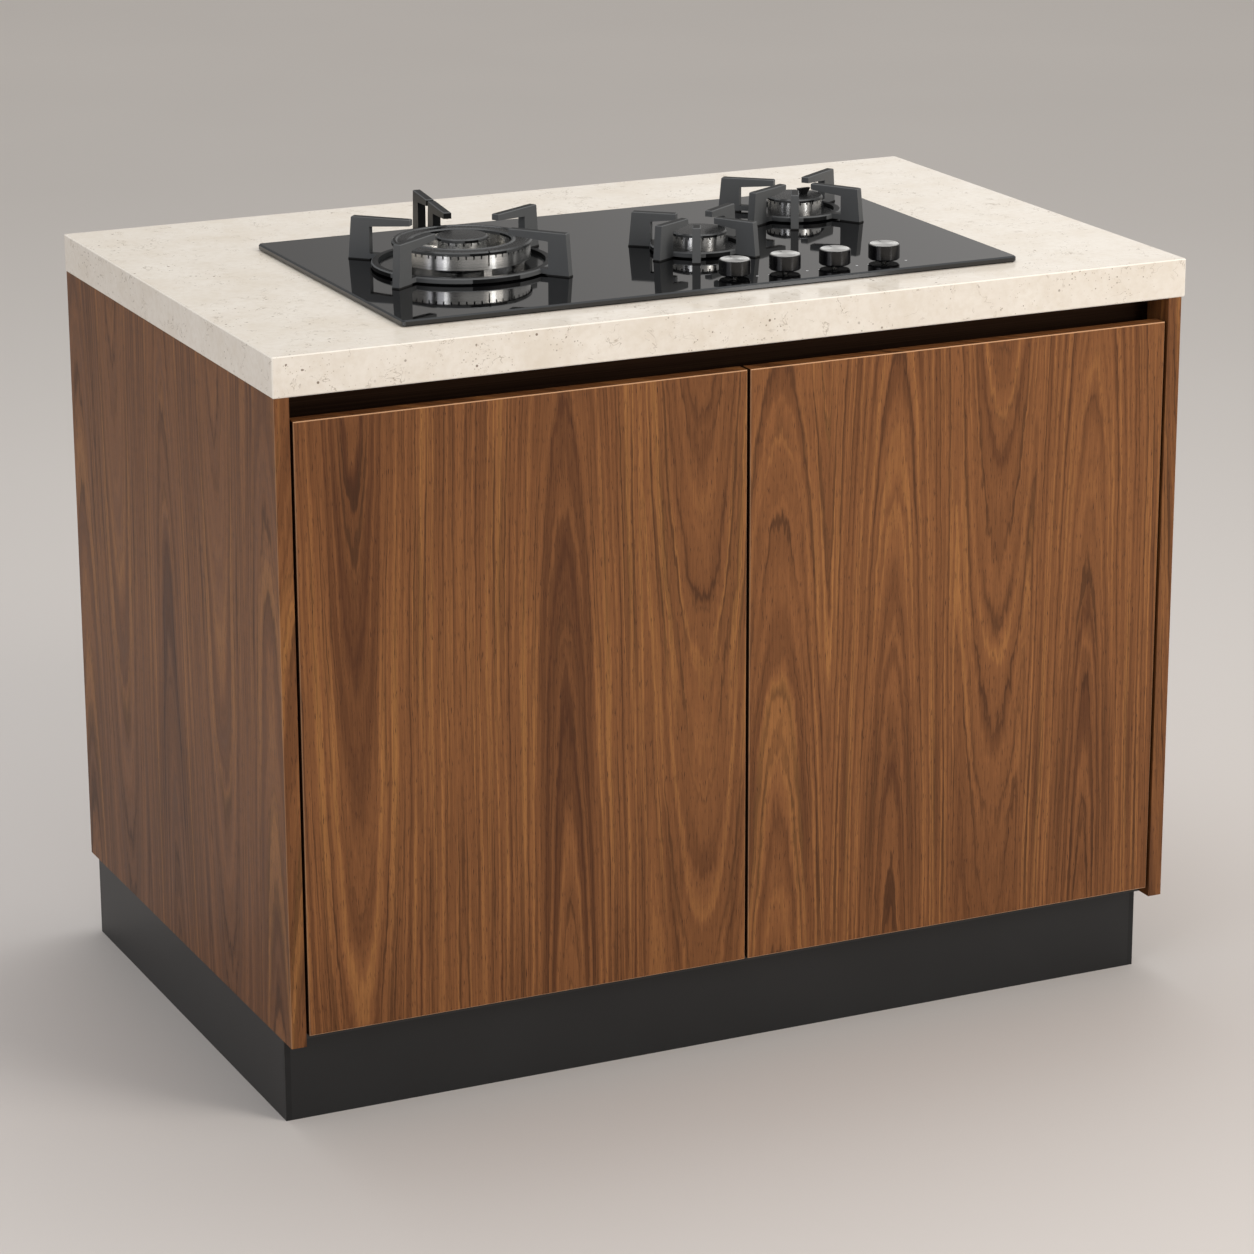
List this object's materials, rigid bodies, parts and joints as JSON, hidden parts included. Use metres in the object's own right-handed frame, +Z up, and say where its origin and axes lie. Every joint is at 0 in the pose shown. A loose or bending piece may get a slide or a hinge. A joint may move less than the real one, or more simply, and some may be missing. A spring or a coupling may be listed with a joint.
{
  "type": "kitchen island unit",
  "caption": "Kitchen island with walnut end panels and doors, recessed handle channel, cream stone worktop, dark plinth and a built-in black glass gas hob.",
  "frame": {"origin": "on the floor under the middle of the worktop outline", "axes": "+X to the right along the front, +Y to the back, +Z up; doors face -Y"},
  "size_m": [1.15, 0.72, 0.9585],
  "materials": {
    "walnut": "satin open-grain veneer, walnut stain, clear matt lacquer",
    "plinth_black": "satin black lacquered board",
    "trim_black": "satin black corner profile",
    "melamine": "matt anthracite melamine-faced board",
    "black_plastic": "moulded black plastic",
    "bronze_channel": "dark bronze anodised, satin",
    "nickel_steel": "nickel-plated steel",
    "stone": "polished cream engineered stone with fine flecks",
    "black_glass": "polished black tempered glass",
    "seal_rubber": "black foam seal",
    "tray_steel": "galvanised pressed steel",
    "brass": "turned brass",
    "black_enamel": "semi-matt black enamel",
    "burner_alloy": "turned cast aluminium",
    "ceramic_white": "glazed white ceramic",
    "cast_iron": "matt black enamelled cast iron",
    "knob_black": "gloss black",
    "brushed_disc": "radially brushed aluminium"
  },
  "bodies": {
    "cabinet": {"plinth_front": "plinth_black", "plinth_back": "plinth_black", "plinth_sides": "plinth_black", "plinth_corner_trims": "trim_black", "leg_sockets": "black_plastic", "leg_feet": "black_plastic", "plinth_clips": "black_plastic", "end_panel_left": "walnut", "end_panel_right": "walnut", "back_panel": "walnut", "carcass_side_left": "melamine", "carcass_side_right": "melamine", "carcass_bottom": "melamine", "centre_divider": "melamine", "back_board": "melamine", "rear_rails": "melamine", "shelves": "melamine", "shelf_pins": "nickel_steel", "handle_channel_left": "bronze_channel", "handle_channel_right": "bronze_channel", "hinge_arms": "nickel_steel", "worktop": "stone", "hob_glass": "black_glass", "hob_seal": "seal_rubber", "burner_tray": "tray_steel", "hob_clamps": "nickel_steel", "gas_valves": "brass", "gas_manifold": "tray_steel", "gas_inlet": "brass", "ignition_box": "black_plastic", "wok_burner_base": "black_enamel", "middle_burner_base": "black_enamel", "rear_burner_base": "black_enamel", "spark_plugs": "ceramic_white"},
    "door_left": {"door_left": "walnut", "hinge_cups_left": "nickel_steel"},
    "door_right": {"door_right": "walnut", "hinge_cups_right": "nickel_steel"},
    "wok_support": {"wok_support": "cast_iron"},
    "middle_support": {"middle_support": "cast_iron"},
    "rear_support": {"rear_support": "cast_iron"},
    "wok_head": {"wok_burner_head": "burner_alloy"},
    "wok_ring_cap": {"wok_ring_cap": "black_enamel"},
    "wok_centre_cap": {"wok_centre_cap": "black_enamel"},
    "middle_head": {"middle_burner_head": "burner_alloy"},
    "middle_cap": {"middle_burner_cap": "black_enamel"},
    "rear_head": {"rear_burner_head": "burner_alloy"},
    "rear_cap": {"rear_burner_cap": "black_enamel"},
    "spindle_1": {"spindle_1": "nickel_steel"},
    "knob_1": {"knob_1": "knob_black", "knob_disc_1": "brushed_disc"},
    "spindle_2": {"spindle_2": "nickel_steel"},
    "knob_2": {"knob_2": "knob_black", "knob_disc_2": "brushed_disc"},
    "spindle_3": {"spindle_3": "nickel_steel"},
    "knob_3": {"knob_3": "knob_black", "knob_disc_3": "brushed_disc"},
    "spindle_4": {"spindle_4": "nickel_steel"},
    "knob_4": {"knob_4": "knob_black", "knob_disc_4": "brushed_disc"}
  },
  "joints": [
    {"name": "left_door", "type": "hinge", "parent": "cabinet", "child": "door_left", "pos_m": [-0.552, -0.359, 0.469], "axis": [0, 0, -1], "range_deg": [0, 105]},
    {"name": "right_door", "type": "hinge", "parent": "cabinet", "child": "door_right", "pos_m": [0.549, -0.359, 0.469], "axis": [0, 0, 1], "range_deg": [0, 105]},
    {"name": "wok_support_lift", "type": "slide", "parent": "cabinet", "child": "wok_support", "axis": [0, 0, 1], "range_m": [0, 0.06]},
    {"name": "wok_head_lift", "type": "slide", "parent": "cabinet", "child": "wok_head", "axis": [0, 0, 1], "range_m": [0, 0.004]},
    {"name": "wok_ring_cap_lift", "type": "slide", "parent": "wok_head", "child": "wok_ring_cap", "axis": [0, 0, 1], "range_m": [0, 0.003]},
    {"name": "wok_centre_cap_lift", "type": "slide", "parent": "wok_head", "child": "wok_centre_cap", "axis": [0, 0, 1], "range_m": [0, 0.003]},
    {"name": "middle_support_lift", "type": "slide", "parent": "cabinet", "child": "middle_support", "axis": [0, 0, 1], "range_m": [0, 0.06]},
    {"name": "middle_head_lift", "type": "slide", "parent": "cabinet", "child": "middle_head", "axis": [0, 0, 1], "range_m": [0, 0.004]},
    {"name": "middle_cap_lift", "type": "slide", "parent": "middle_head", "child": "middle_cap", "axis": [0, 0, 1], "range_m": [0, 0.003]},
    {"name": "rear_support_lift", "type": "slide", "parent": "cabinet", "child": "rear_support", "axis": [0, 0, 1], "range_m": [0, 0.06]},
    {"name": "rear_head_lift", "type": "slide", "parent": "cabinet", "child": "rear_head", "axis": [0, 0, 1], "range_m": [0, 0.004]},
    {"name": "rear_cap_lift", "type": "slide", "parent": "rear_head", "child": "rear_cap", "axis": [0, 0, 1], "range_m": [0, 0.003]},
    {"name": "knob_1_push", "type": "slide", "parent": "cabinet", "child": "spindle_1", "axis": [0, 0, -1], "range_m": [0, 0.0025], "stiffness_N_per_m": 3000, "springref_m": -0.001},
    {"name": "knob_1_turn", "type": "hinge", "parent": "spindle_1", "child": "knob_1", "pos_m": [0.036, -0.246, 0.92], "axis": [0, 0, 1], "range_deg": [0, 210]},
    {"name": "knob_2_push", "type": "slide", "parent": "cabinet", "child": "spindle_2", "axis": [0, 0, -1], "range_m": [0, 0.0025], "stiffness_N_per_m": 3000, "springref_m": -0.001},
    {"name": "knob_2_turn", "type": "hinge", "parent": "spindle_2", "child": "knob_2", "pos_m": [0.101, -0.246, 0.92], "axis": [0, 0, 1], "range_deg": [0, 210]},
    {"name": "knob_3_push", "type": "slide", "parent": "cabinet", "child": "spindle_3", "axis": [0, 0, -1], "range_m": [0, 0.0025], "stiffness_N_per_m": 3000, "springref_m": -0.001},
    {"name": "knob_3_turn", "type": "hinge", "parent": "spindle_3", "child": "knob_3", "pos_m": [0.166, -0.246, 0.92], "axis": [0, 0, 1], "range_deg": [0, 210]},
    {"name": "knob_4_push", "type": "slide", "parent": "cabinet", "child": "spindle_4", "axis": [0, 0, -1], "range_m": [0, 0.0025], "stiffness_N_per_m": 3000, "springref_m": -0.001},
    {"name": "knob_4_turn", "type": "hinge", "parent": "spindle_4", "child": "knob_4", "pos_m": [0.231, -0.246, 0.92], "axis": [0, 0, 1], "range_deg": [0, 210]}
  ]
}
